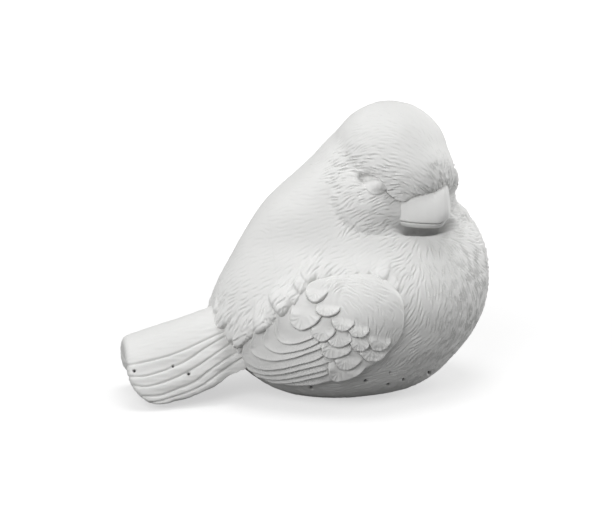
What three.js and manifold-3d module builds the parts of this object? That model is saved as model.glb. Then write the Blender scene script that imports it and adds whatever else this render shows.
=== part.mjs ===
// Concrete bird statue: a round songbird at rest on its belly, with its head turned to its right.
// Millimetres, +X towards the breast, +Y towards the bird's left, +Z up. The origin is the centre of
// the flat base that the bird stands on.
import * as THREE from 'three';
import { mergeVertices } from 'three/addons/utils/BufferGeometryUtils.js';
import Module from 'manifold-3d';

const wasm = await Module();
wasm.setup();

// Clearance between a piece and the curved surface that it is seated in.
const seat_gap = 0.3;

// Main sizes. Nearly everything else is a share of these, so each one carries along what belongs to it.
const torso_length = 115.5;
const torso_width = 92;
const torso_height = 111;
const head_length = 51;
const head_width = 47;
const head_height = 50;
const beak_length = 30.6;
const beak_width = 25;
const beak_height = 13.4;
const wing_length = 58;
const wing_height = 41;
const tail_length = 50;
const tail_width = 39;
const tail_height = 40.5;

// Torso: level sections from the flat base up to the nape, as shares of its height, length and width.
const torso_stations = [
  { z: 0, back: -0.216, front: 0.216, half: 0.185 },
  { z: 0.027, back: -0.268, front: 0.294, half: 0.277 },
  { z: 0.072, back: -0.329, front: 0.359, half: 0.353 },
  { z: 0.135, back: -0.39, front: 0.417, half: 0.413 },
  { z: 0.198, back: -0.435, front: 0.466, half: 0.457 },
  { z: 0.279, back: -0.463, front: 0.511, half: 0.489 },
  { z: 0.36, back: -0.463, front: 0.532, half: 0.5 },
  { z: 0.432, back: -0.437, front: 0.537, half: 0.478 },
  { z: 0.509, back: -0.397, front: 0.53, half: 0.422 },
  { z: 0.586, back: -0.357, front: 0.507, half: 0.345 },
  { z: 0.658, back: -0.309, front: 0.462, half: 0.29 },
  { z: 0.73, back: -0.251, front: 0.412, half: 0.252 },
  { z: 0.802, back: -0.171, front: 0.32, half: 0.225 },
  { z: 0.874, back: -0.092, front: 0.26, half: 0.195 },
  { z: 0.946, back: -0.024, front: 0.208, half: 0.155 },
  { z: 1, back: 0.026, front: 0.173, half: 0.11 },
];
const torso_rings = 19;
const torso_sides = 40;
const torso_crowding = 1.35;
const rump_taper = 0.16;
const nape_fullness = 0.25;
const throat_taper = 0.62;
const left_throat_taper = 0.1;
const nape_share = 0.874;

// Head: lobes blended into one mass, in the head's own frame, as shares of its length, width and
// height. x is forward, y to the bird's left, z up. It rests on the torso at head_seat.
const head_seat = 0.6126 * torso_height;
const head_rise = 0.535;
const head_centre = new THREE.Vector3(
  0.181 * torso_length,
  -0.087 * torso_width,
  head_seat + head_rise * head_height,
);
const head_turn = THREE.MathUtils.degToRad(-58);
const head_tilt = THREE.MathUtils.degToRad(-2.5);
const skull = { x: -0.069, y: 0, z: 0, length: 1, width: 1, height: 1 };
const forehead = { x: 0.15, y: 0, z: -0.035, length: 0.74, width: 0.7, height: 0.56 };
const brow = { x: 0.07, y: 0.095, z: -0.065, length: 0.74, width: 0.47, height: 0.38 };
const cheek = { x: -0.13, y: 0.29, z: -0.33, length: 0.76, width: 0.77, height: 0.78 };
const chin = { x: 0.08, y: 0, z: -0.3, length: 0.62, width: 0.56, height: 0.44 };
const eye = { x: 0.15, y: 0.435, z: -0.13, length: 0.2, width: 0.17, height: 0.15 };
const eye_crease = { x: 0.155, y: 0.47, z: -0.08, length: 0.29, width: 0.14, height: 0.13 };
const crown_centre = { x: 0.04, z: -0.02 };
const face_centre = { x: 0, z: -0.2 };
const lobe_blend = 1.2;

// Beak: level sections of a broad blunt wedge, from its underside up, as shares of its own sizes.
// The mouth line is the level where its halves meet.
const beak_bottom = head_seat + 0.113 * head_height;
const mouth_share = 0.179;
const beak_root = 0.18;
const beak_hinge = 0.434;
const beak_stations = [
  { level: 0, half: 0.429, tip: 0.883 },
  { level: 0.083, half: 0.466, tip: 0.94 },
  { level: 0.179, half: 0.489, tip: 0.976 },
  { level: 0.315, half: 0.5, tip: 1 },
  { level: 0.524, half: 0.489, tip: 0.988 },
  { level: 0.762, half: 0.444, tip: 0.94 },
  { level: 1, half: 0.338, tip: 0.838 },
];
const beak_bluntness = 1.3;
const lower_beak_inset = 0.7;
const beak_edge_round = 0.8;

// Wing: feathers laid on the torso's side, placed by shares of the wing's length from its front edge
// back to the tip, and of its height from its lowest edge up. The other wing mirrors it.
const wing_front = 0.1255 * torso_length;
const wing_low = 0.117 * torso_height;
const wing_pocket = 3;
const wing_root_depth = 4.6;
const recess_over_dome = 12;
const recess_over_feather = 3;
const mantle = { along: 0.259, up: 0.524, half_length: 0.302, half_height: 0.439, rise: 2.3 };
const shoulder = { along: 0.172, up: 0.61, half_length: 0.207, half_height: 0.329, rise: 5.2 };
const wing_edge = 0.4;
const flight_tips = [[0.828, 0.502], [0.957, 0.341], [1.002, 0.229], [0.966, 0.146], [0.819, 0.107]];
const flight_roots = [[0.405, 0.61], [0.302, 0.195]];
const flight_count = 8;
const flight_half_width = 4.5;
const flight_sag = 2.6;
const flight_top = 3.3;
const flight_step = 0.36;
const flight_tilt = 0.6;
const covert_tips = [
  [0.702, 0.598], [0.584, 0.829], [0.541, 0.466], [0.509, 0.7], [0.484, 0.305], [0.443, 0.415],
  [0.429, 0.09], [0.422, 0.571], [0.391, 0.195], [0.322, 0.517], [0.316, 0.376], [0.224, 0.278],
  [0.202, 0.4],
];
const covert_centre = [0.129, 0.707];
const covert_length = 12;
const covert_half_width = 4.9;
const covert_low = 3.4;
const covert_high = 5.6;
const covert_tilt = 2;
const spine_rise = 0.7;
const spine_inset = 0.45;

// Tail: a steep arch of feathers, laid like roof tiles from the middle feather down to each side.
// Stations run from the seat on the rump (0) back to the tip (1), as shares of the tail's own sizes.
const tail_seat = -0.329 * torso_length;
const tail_stations = [
  { along: -0.02, bottom: 0.346, top: 1, half: 0.41 },
  { along: 0.1, bottom: 0.306, top: 0.968, half: 0.421 },
  { along: 0.34, bottom: 0.202, top: 0.872, half: 0.446 },
  { along: 0.58, bottom: 0.096, top: 0.782, half: 0.472 },
  { along: 0.8, bottom: 0.06, top: 0.702, half: 0.492 },
  { along: 1.08, bottom: 0.049, top: 0.598, half: 0.5 },
];
const tail_tip_middle = 0.996;
const tail_tip_side = 0.84;
const tail_tip_round = 3.6;
const tail_feather_edges = [52, 64, 75, 85];
const tail_lowest_edge = 90;
const tail_feather_step = 1.2;
const tail_feather_cut = 1.4;
const tail_rings = 9;

// A station table read as a smooth curve, for any value of its first key between the outer two.
function stationCurve(stations, key, values) {
  const curve = new THREE.CubicInterpolant(
    stations.map((s) => s[key]),
    stations.flatMap((s) => values.map((value) => s[value])),
    values.length,
    new Float64Array(values.length),
  );
  const [low, high] = [stations[0][key], stations.at(-1)[key]];
  return (at) => [...curve.evaluate(THREE.MathUtils.clamp(at, low, high))];
}
const torsoAt = stationCurve(torso_stations, 'z', ['back', 'front', 'half']);
const beakAt = stationCurve(beak_stations, 'level', ['half', 'tip']);
const tailAt = stationCurve(tail_stations, 'along', ['bottom', 'top', 'half']);

// The torso's back, front and half width at height z, in millimetres.
function torsoSection(z) {
  const [back, front, half] = torsoAt(z / torso_height);
  return { back: back * torso_length, front: front * torso_length, half: half * torso_width };
}

// The point of the torso's skin at height z and angle turn round the section, 0 being the breast.
// Low down the rear of the section narrows to the rump. Higher up the rear is broad for the nape,
// and the front narrows to the throat, mostly on the right, where the head is turned to.
function torsoPoint(z, turn, grow = 0) {
  const { back, front, half } = torsoSection(z);
  const nape = THREE.MathUtils.smoothstep(z / torso_height, 0.56, 0.72);
  const behind = Math.cos(turn) < 0;
  const power = behind ? 1 - nape_fullness * nape : 1;
  const throat = Math.sin(turn) < 0 ? throat_taper : left_throat_taper;
  const narrowing = behind ? rump_taper * (1 - nape) : throat * nape;
  const along = Math.sign(Math.cos(turn)) * Math.abs(Math.cos(turn)) ** power;
  const aside = Math.sign(Math.sin(turn)) * Math.abs(Math.sin(turn)) ** power;
  const kept = 1 - narrowing * Math.cos(turn) ** 2;
  const widest = (back + front) / 2;
  const reach = (front - back) / 2 + grow;
  return new THREE.Vector3(widest + reach * along, (half + grow) * aside * kept, z);
}

// A point at a distance out from the torso's right side, found by its x and its height on the skin.
function onRightSide(x, z, out) {
  const turnAt = (level) => {
    const { back, front } = torsoSection(level);
    const along = (x - (back + front) / 2) / ((front - back) / 2);
    return -Math.acos(THREE.MathUtils.clamp(along, -0.99, 0.99));
  };
  const turn = turnAt(z);
  const here = torsoPoint(z, turn);
  const ahead = torsoPoint(z, turn + 0.01).sub(here);
  const above = torsoPoint(z + 0.5, turn).sub(here);
  return here.add(ahead.cross(above).normalize().multiplyScalar(out));
}

// A closed skin through rings of points, each ring with the same count, both ends capped by a fan.
function loft(rings) {
  const count = rings[0].length;
  const points = rings.flat();
  const faces = [];
  for (let r = 0; r + 1 < rings.length; r += 1) {
    for (let i = 0; i < count; i += 1) {
      const next = (i + 1) % count;
      const a = r * count + i;
      const b = r * count + next;
      faces.push(a, b, b + count, a, b + count, a + count);
    }
  }
  for (const [ring, start] of [[rings[0], 0], [rings.at(-1), (rings.length - 1) * count]]) {
    const hub = points.length;
    const centre = new THREE.Vector3();
    ring.forEach((p) => centre.add(p));
    points.push(centre.divideScalar(count));
    for (let i = 0; i < count; i += 1) {
      const a = start + i;
      const b = start + ((i + 1) % count);
      faces.push(...(start === 0 ? [hub, b, a] : [hub, a, b]));
    }
  }
  const geometry = new THREE.BufferGeometry().setFromPoints(points);
  geometry.setIndex(faces);
  return geometry;
}

// A geometry as a solid that can be joined and cut. One that is inside out is turned round.
function solid(geometry) {
  const bare = geometry.clone();
  bare.deleteAttribute('normal');
  bare.deleteAttribute('uv');
  const merged = mergeVertices(bare, 1e-4);
  const make = (corners) => new wasm.Manifold(new wasm.Mesh({
    numProp: 3,
    vertProperties: new Float32Array(merged.attributes.position.array),
    triVerts: new Uint32Array(corners),
  }));
  const form = make(merged.index.array);
  return form.volume() < 0 ? make([...merged.index.array].reverse()) : form;
}

// Everything above, or on one side of, a plane across an axis.
function halfSpace(axis, from, sign) {
  const size = 400;
  const box = new THREE.BoxGeometry(size, size, size);
  const shift = new THREE.Vector3();
  shift[axis] = from + (sign * size) / 2;
  box.translate(shift.x, shift.y, shift.z);
  return solid(box);
}

function torsoForm(grow = 0) {
  const rings = [];
  for (let r = 0; r <= torso_rings; r += 1) {
    const share = r / torso_rings;
    const z = torso_height * share ** torso_crowding;
    const ring = [];
    for (let i = 0; i < torso_sides; i += 1) {
      const p = torsoPoint(z, (2 * Math.PI * i) / torso_sides, grow);
      p.z += grow * (2 * share - 1);
      ring.push(p);
    }
    rings.push(ring);
  }
  return solid(loft(rings));
}

const head_frame = new THREE.Matrix4()
  .makeRotationFromEuler(new THREE.Euler(head_tilt, 0, head_turn, 'ZYX'))
  .setPosition(head_centre);

// A lobe's centre and half sizes in millimetres, in the head's own frame.
function lobeSizes(lobe, side, grow) {
  return {
    centre: new THREE.Vector3(lobe.x * head_length, side * lobe.y * head_width, lobe.z * head_height),
    half: new THREE.Vector3(
      (lobe.length * head_length) / 2 + grow,
      (lobe.width * head_width) / 2 + grow,
      (lobe.height * head_height) / 2 + grow,
    ),
  };
}

// One ellipsoid lobe as a solid of its own.
function headLobe(lobe, side, grow = 0, sides = 16) {
  const { centre, half } = lobeSizes(lobe, side, grow);
  const ball = new THREE.SphereGeometry(1, sides, Math.round(sides * 0.6));
  ball.scale(half.x, half.y, half.z);
  ball.translate(centre.x, centre.y, centre.z);
  ball.applyMatrix4(head_frame);
  return solid(ball);
}

// How far a line from a point inside a lobe runs before it leaves the lobe.
function reachOut(from, way, { centre, half }) {
  const start = from.clone().sub(centre).divide(half);
  const step = way.clone().divide(half);
  const a = step.dot(step);
  const b = start.dot(step);
  const c = start.dot(start) - 1;
  return (-b + Math.sqrt(b * b - a * c)) / a;
}

// Lobes round one shared inner point as a single skin. The farthest lobe counts in each direction,
// with a soft blend where two of them meet.
function blendedLobes(lobes, inner, detail) {
  const from = new THREE.Vector3(inner.x * head_length, 0, inner.z * head_height);
  const ball = new THREE.IcosahedronGeometry(1, detail);
  const corners = ball.attributes.position;
  for (let i = 0; i < corners.count; i += 1) {
    const way = new THREE.Vector3().fromBufferAttribute(corners, i).normalize();
    const total = lobes.reduce((sum, lobe) => sum + Math.exp(reachOut(from, way, lobe) / lobe_blend), 0);
    const p = way.multiplyScalar(lobe_blend * Math.log(total)).add(from);
    corners.setXYZ(i, p.x, p.y, p.z);
  }
  ball.applyMatrix4(head_frame);
  return solid(ball);
}

// The crown with its brows overhangs the face, so that a crease runs between the two.
function headForm(grow = 0) {
  const both = (lobe) => [lobeSizes(lobe, -1, grow), lobeSizes(lobe, 1, grow)];
  const single = (lobe) => lobeSizes(lobe, 1, grow);
  const crown = blendedLobes([single(skull), single(forehead), ...both(brow)], crown_centre, 7);
  const face = blendedLobes([single(chin), ...both(cheek)], face_centre, 7);
  return crown.add(face).intersect(halfSpace('z', head_seat, 1));
}

// One level section of the beak, from inside the head out to the tip.
function beakRing(z, level, grow) {
  const [half_share, tip_share] = beakAt(level);
  const half = half_share * beak_width;
  const tip = tip_share * beak_length;
  const hinge = beak_hinge * beak_length;
  const root = beak_root * beak_length - grow;
  const steps = 12;
  const ring = [];
  for (let i = 0; i <= steps; i += 1) {
    const turn = -Math.PI / 2 + (Math.PI * i) / steps;
    const forward = Math.cos(turn) ** beak_bluntness;
    const aside = Math.sign(turn) * Math.abs(Math.sin(turn)) ** beak_bluntness;
    ring.push([hinge + (tip - hinge + grow) * forward, (half + grow) * aside]);
  }
  ring.push([root, half + grow], [root, -half - grow]);
  return ring.map(([x, y]) => {
    const p = new THREE.Vector3(x, y, 0).applyMatrix4(head_frame);
    p.z = z;
    return p;
  });
}

function beakForm(grow = 0) {
  const levels = 9;
  const rings = [];
  for (let i = 0; i <= levels; i += 1) {
    const level = i / levels;
    const z = beak_bottom + beak_height * level + grow * (2 * level - 1);
    rings.push(beakRing(z, level, i === 0 || i === levels ? grow - beak_edge_round : grow));
  }
  return solid(loft(rings));
}

// A place on the wing, given by its shares, as x and z in millimetres.
function onWing(along, up) {
  return new THREE.Vector2(wing_front - along * wing_length, wing_low + up * wing_height);
}

// One feather: a rounded blade along a curve on the torso's side, its tip lifted clear of the next.
function featherForm(feather, grow) {
  const { root, bend, tip, half_width, height, tilt, steps } = feather;
  const spine = new THREE.QuadraticBezierCurve(root, bend, tip);
  const round = 5;
  const body = Math.max(0.2, 1 - half_width / spine.getLength());
  const outline = [];
  for (const side of [1, -1]) {
    const edge = [];
    for (let i = 0; i <= steps; i += 1) {
      const t = (body * i) / steps;
      const at = spine.getPoint(t);
      const way = spine.getTangent(t);
      const reach = side * (half_width * (0.72 + (0.28 * i) / steps) + grow);
      edge.push({ x: at.x - way.y * reach, z: at.y + way.x * reach, at, drop: tilt * (1 - t) });
    }
    if (side < 0) edge.reverse();
    outline.push(...edge);
    if (side < 0) continue;
    const centre = spine.getPoint(body);
    const way = spine.getTangent(body);
    for (let i = 1; i < round; i += 1) {
      const turn = Math.PI / 2 - (Math.PI * i) / round;
      const ahead = (half_width + grow) * Math.cos(turn);
      const aside = (half_width + grow) * Math.sin(turn);
      outline.push({
        x: centre.x + way.x * ahead - way.y * aside,
        z: centre.y + way.y * ahead + way.x * aside,
        at: centre,
        drop: 0,
      });
    }
  }
  const ring = (inset, out, slope) => outline.map((p) => onRightSide(
    p.x + (p.at.x - p.x) * inset,
    p.z + (p.at.y - p.z) * inset,
    out - p.drop * slope,
  ));
  if (grow > 0) {
    return solid(loft([ring(0, -wing_root_depth - 1, 0), ring(0, height + recess_over_feather, 0)]));
  }
  return solid(loft([
    ring(0, -wing_root_depth, 0),
    ring(0, height - spine_rise, 1),
    ring(spine_inset, height, 1),
  ]));
}

// A smooth dome over the torso's side: the wing's mantle, or the shoulder that stands out of it.
function domeForm(dome, grow) {
  const sides = 26;
  const centre = onWing(dome.along, dome.up);
  const half_length = dome.half_length * wing_length + grow;
  const half_height = dome.half_height * wing_height + grow;
  const ring = (share, out) => Array.from({ length: sides }, (_, i) => {
    const turn = (2 * Math.PI * i) / sides;
    const x = centre.x + half_length * share * Math.cos(turn);
    return onRightSide(x, centre.y + half_height * share * Math.sin(turn), out);
  });
  const foot = ring(1, -wing_root_depth - grow);
  if (grow > 0) return solid(loft([foot, ring(1, recess_over_dome)]));
  const skin = [1, 0.94, 0.82, 0.62, 0.34].map((share) => (
    ring(share, wing_edge + dome.rise * Math.sqrt(1 - share * share))
  ));
  return solid(loft([foot, ...skin]));
}

// Flight feathers, each lower one under the one above it.
function flightFeathers() {
  const tips = new THREE.SplineCurve(flight_tips.map(([along, up]) => onWing(along, up)));
  const [high_root, low_root] = flight_roots.map(([along, up]) => onWing(along, up));
  return Array.from({ length: flight_count }, (_, i) => {
    const share = i / (flight_count - 1);
    const tip = tips.getPoint(share);
    const root = high_root.clone().lerp(low_root, share);
    const bend = root.clone().lerp(tip, 0.5);
    bend.y -= flight_sag * (1 - 0.5 * share);
    const height = flight_top - flight_step * i;
    return { root, bend, tip, half_width: flight_half_width, height, tilt: flight_tilt, steps: 4 };
  });
}

// Coverts, the scale-like small feathers. They point away from the shoulder, the nearest on top.
function covertFeathers() {
  const centre = onWing(...covert_centre);
  const tips = covert_tips.map(([along, up]) => onWing(along, up));
  const farthest = Math.max(...tips.map((tip) => centre.distanceTo(tip)));
  return tips.map((tip) => {
    const away = tip.clone().sub(centre);
    const share = away.length() / farthest;
    const root = tip.clone().sub(away.setLength(covert_length));
    const bend = root.clone().lerp(tip, 0.5);
    const height = covert_high + (covert_low - covert_high) * share;
    return { root, bend, tip, half_width: covert_half_width, height, tilt: covert_tilt, steps: 2 };
  });
}

function rightWingForm(grow = 0) {
  let form = domeForm(mantle, grow).add(domeForm(shoulder, grow));
  for (const feather of [...flightFeathers(), ...covertFeathers()]) {
    form = form.add(featherForm(feather, grow));
  }
  return form;
}

// One ring of the tail. Seen from behind it climbs one side, crosses the top and comes down the other.
function tailRing(share, grow, shrink, ahead = 0) {
  const edges = [0, ...tail_feather_edges, tail_lowest_edge];
  const side = [];
  for (let k = 1; k < edges.length; k += 1) {
    const from = edges[k - 1] + (k === 1 ? 0 : tail_feather_cut);
    const parts = k === 1 ? 6 : 2;
    for (let i = k === 1 ? 1 : 0; i <= parts; i += 1) {
      const lap = k === 1 ? 1 : i / parts;
      side.push({ slant: from + ((edges[k] - from) * i) / parts, lap });
    }
  }
  const turns = [
    ...side.map(({ slant, lap }) => ({ turn: -slant, lap })).reverse(),
    { turn: 0, lap: 1 },
    ...side.map(({ slant, lap }) => ({ turn: slant, lap })),
  ];
  const edge = (tail_tip_middle + tail_tip_side) / 2;
  const ring = turns.map(({ turn, lap }) => {
    const raise = (lap - 0.5) * tail_feather_step + grow;
    const aside = (Math.abs(turn) / tail_lowest_edge) ** 7;
    const tip = tail_tip_middle + (tail_tip_side - tail_tip_middle) * aside;
    const full = (tip + grow / tail_length) * share + (1 - share) * tail_stations[0].along;
    const along = edge + (full - edge) * shrink + ahead / tail_length;
    const [bottom, top, half] = tailAt(full);
    const radians = THREE.MathUtils.degToRad(turn);
    const low = bottom * tail_height - grow;
    const high = top * tail_height + raise;
    const middle = (low + high) / 2;
    return new THREE.Vector3(
      tail_seat - along * tail_length,
      (half * tail_width + raise) * Math.sin(radians) * shrink,
      middle + (low + (high - low) * Math.cos(radians) - middle) * shrink,
    );
  });
  const under = 6;
  const [first, last] = [ring[0], ring.at(-1)];
  for (let i = 1; i < under; i += 1) ring.push(last.clone().lerp(first, i / under));
  return ring;
}

function tailForm(grow = 0) {
  const rings = [];
  for (let r = 0; r <= tail_rings; r += 1) {
    rings.push(tailRing(r / tail_rings, grow, 1));
  }
  for (const turn of [25, 50, 72]) {
    const radians = THREE.MathUtils.degToRad(turn);
    const shrink = 1 - 0.3 * (1 - Math.cos(radians));
    rings.push(tailRing(1, grow, shrink, tail_tip_round * Math.sin(radians)));
  }
  return solid(loft(rings)).intersect(halfSpace('x', tail_seat, -1));
}

const statue = new THREE.Group();
const concrete = new THREE.MeshStandardMaterial({ color: 0xdddcda, roughness: 0.92, metalness: 0 });

function addPiece(name, form) {
  const largest = form.decompose().sort((a, b) => b.volume() - a.volume())[0];
  const cut = largest.getMesh();
  const geometry = new THREE.BufferGeometry();
  geometry.setAttribute('position', new THREE.BufferAttribute(cut.vertProperties, 3));
  geometry.setIndex(new THREE.BufferAttribute(cut.triVerts, 1));
  geometry.computeVertexNormals();
  const piece = new THREE.Mesh(geometry, concrete.clone());
  piece.name = name;
  statue.add(piece);
}

const torso = torsoForm();
const tail_recess = tailForm(seat_gap);
const wing = rightWingForm().subtract(torsoForm(seat_gap - wing_pocket)).subtract(tail_recess);
const wing_recess = rightWingForm(seat_gap).subtract(torsoForm(-wing_pocket));
const mirrored = (form) => form.mirror([0, 1, 0]);
const mouth_level = beak_bottom + mouth_share * beak_height;
const below_mouth = halfSpace('z', mouth_level, -1);
const above_mouth = halfSpace('z', mouth_level, 1);
const above_nape = halfSpace('z', nape_share * torso_height, 1);
const beak_recess = beakForm(seat_gap);

addPiece('body', torso
  .subtract(above_nape)
  .subtract(headForm(seat_gap))
  .subtract(headLobe(eye, -1, seat_gap))
  .subtract(headLobe(eye, 1, seat_gap))
  .subtract(beak_recess)
  .subtract(wing_recess)
  .subtract(mirrored(wing_recess))
  .subtract(tail_recess));
addPiece('head', headForm()
  .add(torso.intersect(above_nape))
  .subtract(beak_recess)
  .subtract(headLobe(eye_crease, -1))
  .subtract(headLobe(eye_crease, 1))
  .subtract(headLobe(eye, -1, seat_gap))
  .subtract(headLobe(eye, 1, seat_gap)));
addPiece('beak_upper', beakForm().intersect(above_mouth));
addPiece('beak_lower', beakForm(-lower_beak_inset).intersect(below_mouth));
addPiece('right_eye', headLobe(eye, -1));
addPiece('left_eye', headLobe(eye, 1));
addPiece('right_wing', wing);
addPiece('left_wing', mirrored(wing));
addPiece('tail', tailForm());

export default statue;
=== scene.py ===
# %% [markdown]
# # A cast concrete bird
#
# The real object is one pour of pale concrete: a round songbird with feather relief all over it.
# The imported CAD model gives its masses, split into nodes: body, head, beak, eyes, wings and tail.
# Here each node is replaced by finer pieces of the same form. They follow the CAD solids and get
# their relief from heights that are worked out place by place, as a sculptor works over a rough form.

# %% Load the CAD frame
import itertools
import math
import bmesh
import bpy
import numpy as np
from mathutils import Matrix, Vector
from mathutils.bvhtree import BVHTree
from mathutils.kdtree import KDTree


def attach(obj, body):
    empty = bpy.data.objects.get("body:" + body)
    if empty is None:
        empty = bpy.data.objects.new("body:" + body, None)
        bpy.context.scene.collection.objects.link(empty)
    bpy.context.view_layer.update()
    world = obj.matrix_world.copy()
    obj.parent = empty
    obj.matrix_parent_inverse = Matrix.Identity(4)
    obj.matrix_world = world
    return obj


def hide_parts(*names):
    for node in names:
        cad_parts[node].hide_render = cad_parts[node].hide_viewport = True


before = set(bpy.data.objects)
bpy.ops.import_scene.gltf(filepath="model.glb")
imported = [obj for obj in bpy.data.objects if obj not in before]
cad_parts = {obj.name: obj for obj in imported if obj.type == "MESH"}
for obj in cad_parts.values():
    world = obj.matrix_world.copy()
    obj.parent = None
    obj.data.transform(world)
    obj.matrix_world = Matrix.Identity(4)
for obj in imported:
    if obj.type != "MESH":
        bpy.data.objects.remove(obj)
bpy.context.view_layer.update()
mm = 0.001

# %% [markdown]
# ## The camera
#
# The photograph is taken from the bird's right, a little from behind and a little from above. The
# camera comes first, because the relief is placed by what it sees: a point of the skin is turned
# into a place in the picture, and the feathers are drawn there.

# %% Camera at the photograph's angle
picture_width = 612
picture_height = 505
camera_turn = math.radians(-12)
camera_rise = math.radians(12)
camera_aim = Vector((-0.0146, 0, 0.0577))
camera_distance = 0.7
sensor_width = 36
focal_length = 100.5
towards_camera = Vector((
    math.sin(camera_turn) * math.cos(camera_rise),
    -math.cos(camera_turn) * math.cos(camera_rise),
    math.sin(camera_rise),
))
camera_place = camera_aim + towards_camera * camera_distance
camera_turned = (-towards_camera).to_track_quat("-Z", "Y")
lens = bpy.data.cameras.new("photo_camera")
lens.sensor_width = sensor_width
lens.lens = focal_length
camera = bpy.data.objects.new("photo_camera", lens)
camera.location = camera_place
camera.rotation_euler = camera_turned.to_euler()
bpy.context.scene.collection.objects.link(camera)
bpy.context.scene.camera = camera

picture_right = np.array(camera_turned @ Vector((1, 0, 0)))
picture_up = np.array(camera_turned @ Vector((0, 1, 0)))
picture_back = np.array(towards_camera)
picture_scale = picture_width * focal_length / sensor_width


def in_picture(points):
    """Where points in metres show in the picture, in its pixels, y down."""
    away = points - np.array(camera_place)
    depth = -(away @ picture_back)
    across = picture_width / 2 + picture_scale * (away @ picture_right) / depth
    down = picture_height / 2 - picture_scale * (away @ picture_up) / depth
    return np.stack([across, down], 1)


def sight_lines(pixels):
    """Unit directions from the camera through places in the picture."""
    across = (pixels[:, 0] - picture_width / 2) / picture_scale
    down = (picture_height / 2 - pixels[:, 1]) / picture_scale
    way = -picture_back + across[:, None] * picture_right + down[:, None] * picture_up
    return way / np.linalg.norm(way, axis=1, keepdims=True)


print("camera at", [round(v, 3) for v in camera_place])

# %% [markdown]
# ## One skin under the relief
#
# The CAD solids have a hair's breadth between them and pockets for their neighbours, and the casting
# has neither. So the torso is lofted again from the CAD model's level sections, without pockets. The
# head's solid is grown until it overlaps it, its pockets are plugged, and a voxel remesh fuses all to
# one skin. Smoothing then lets the nape run into the crown. Everything else is laid on this skin.

# %% Helpers for meshes
def merged_copy(node, grow):
    """A bmesh of a CAD node, its loose triangles merged and the skin moved out a little."""
    form = bmesh.new()
    form.from_mesh(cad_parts[node].data)
    bmesh.ops.remove_doubles(form, verts=form.verts, dist=1e-6)
    form.normal_update()
    for corner in form.verts:
        corner.co += corner.normal * grow
    return form


def new_object(form, name):
    mesh = bpy.data.meshes.new(name)
    form.to_mesh(mesh)
    form.free()
    piece = bpy.data.objects.new(name, mesh)
    bpy.context.scene.collection.objects.link(piece)
    return piece


def fused(forms, voxel, smoothing):
    """Closed forms fused to one even skin, its largest island only, smoothed."""
    whole = bmesh.new()
    for form in forms:
        part = bpy.data.meshes.new("part")
        form.to_mesh(part)
        form.free()
        whole.from_mesh(part)
        bpy.data.meshes.remove(part)
    rough = new_object(whole, "rough")
    fuse = rough.modifiers.new("fuse", "REMESH")
    fuse.mode = "VOXEL"
    fuse.voxel_size = voxel
    graph = bpy.context.evaluated_depsgraph_get()
    even = bpy.data.meshes.new_from_object(rough.evaluated_get(graph))
    bpy.data.objects.remove(rough)
    form = bmesh.new()
    form.from_mesh(even)
    bpy.data.meshes.remove(even)
    keep_largest(form)
    smooth(form, smoothing)
    form.normal_update()
    return form


def smooth(form, times):
    for _ in range(times):
        bmesh.ops.smooth_vert(
            form, verts=form.verts, factor=0.5, use_axis_x=True, use_axis_y=True, use_axis_z=True)


def keep_largest(form):
    unseen = set(form.verts)
    islands = []
    while unseen:
        stack = [unseen.pop()]
        island = list(stack)
        while stack:
            for edge in stack.pop().link_edges:
                for corner in edge.verts:
                    if corner in unseen:
                        unseen.discard(corner)
                        stack.append(corner)
                        island.append(corner)
        islands.append(island)
    islands.sort(key=len)
    for island in islands[:-1]:
        bmesh.ops.delete(form, geom=island, context="VERTS")


def places(form):
    return np.array([corner.co for corner in form.verts])


def outward(form):
    form.normal_update()
    return np.array([corner.normal for corner in form.verts])


def move_to(form, points):
    for corner, point in zip(form.verts, points):
        corner.co = point


# %% The torso's level sections
torso_length = 115.5 * mm
torso_width = 92 * mm
torso_height = 111 * mm
torso_sections = np.array([  # height, back, front and half width, as shares of height, length and width
    (0, -0.216, 0.216, 0.185), (0.027, -0.268, 0.294, 0.277), (0.072, -0.329, 0.359, 0.353),
    (0.135, -0.39, 0.417, 0.413), (0.198, -0.435, 0.466, 0.457), (0.279, -0.463, 0.511, 0.489),
    (0.36, -0.463, 0.532, 0.5), (0.432, -0.437, 0.537, 0.478), (0.509, -0.397, 0.53, 0.422),
    (0.586, -0.357, 0.507, 0.345), (0.658, -0.309, 0.462, 0.29), (0.73, -0.251, 0.412, 0.252),
    (0.802, -0.171, 0.32, 0.225), (0.874, -0.092, 0.26, 0.195), (0.946, -0.024, 0.208, 0.155),
    (1, 0.026, 0.173, 0.11),
])
rump_taper = 0.16
nape_fullness = 0.25
nape_levels = (0.56, 0.72)
throat_tapers = (0.62, 0.1)
sides = 120
rings_between = 89


def between_sections(level):
    """The section at any height, on a smooth curve through the measured ones."""
    heights = torso_sections[:, 0]
    sizes = torso_sections[:, 1:]
    slopes = np.gradient(sizes, axis=0) / np.gradient(heights)[:, None]
    first = np.clip(np.searchsorted(heights, level) - 1, 0, len(heights) - 2)
    span = heights[first + 1] - heights[first]
    t = ((level - heights[first]) / span)[:, None]
    span = span[:, None]
    start = sizes[first] * (2 * t**3 - 3 * t**2 + 1) + slopes[first] * span * (t**3 - 2 * t**2 + t)
    end = sizes[first + 1] * (3 * t**2 - 2 * t**3) + slopes[first + 1] * span * (t**3 - t**2)
    return start + end


def ease(value, low, high):
    """0 below low, 1 above high, and a smooth rise between them."""
    share = np.clip((value - low) / (high - low), 0, 1)
    return share * share * (3 - 2 * share)


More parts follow.
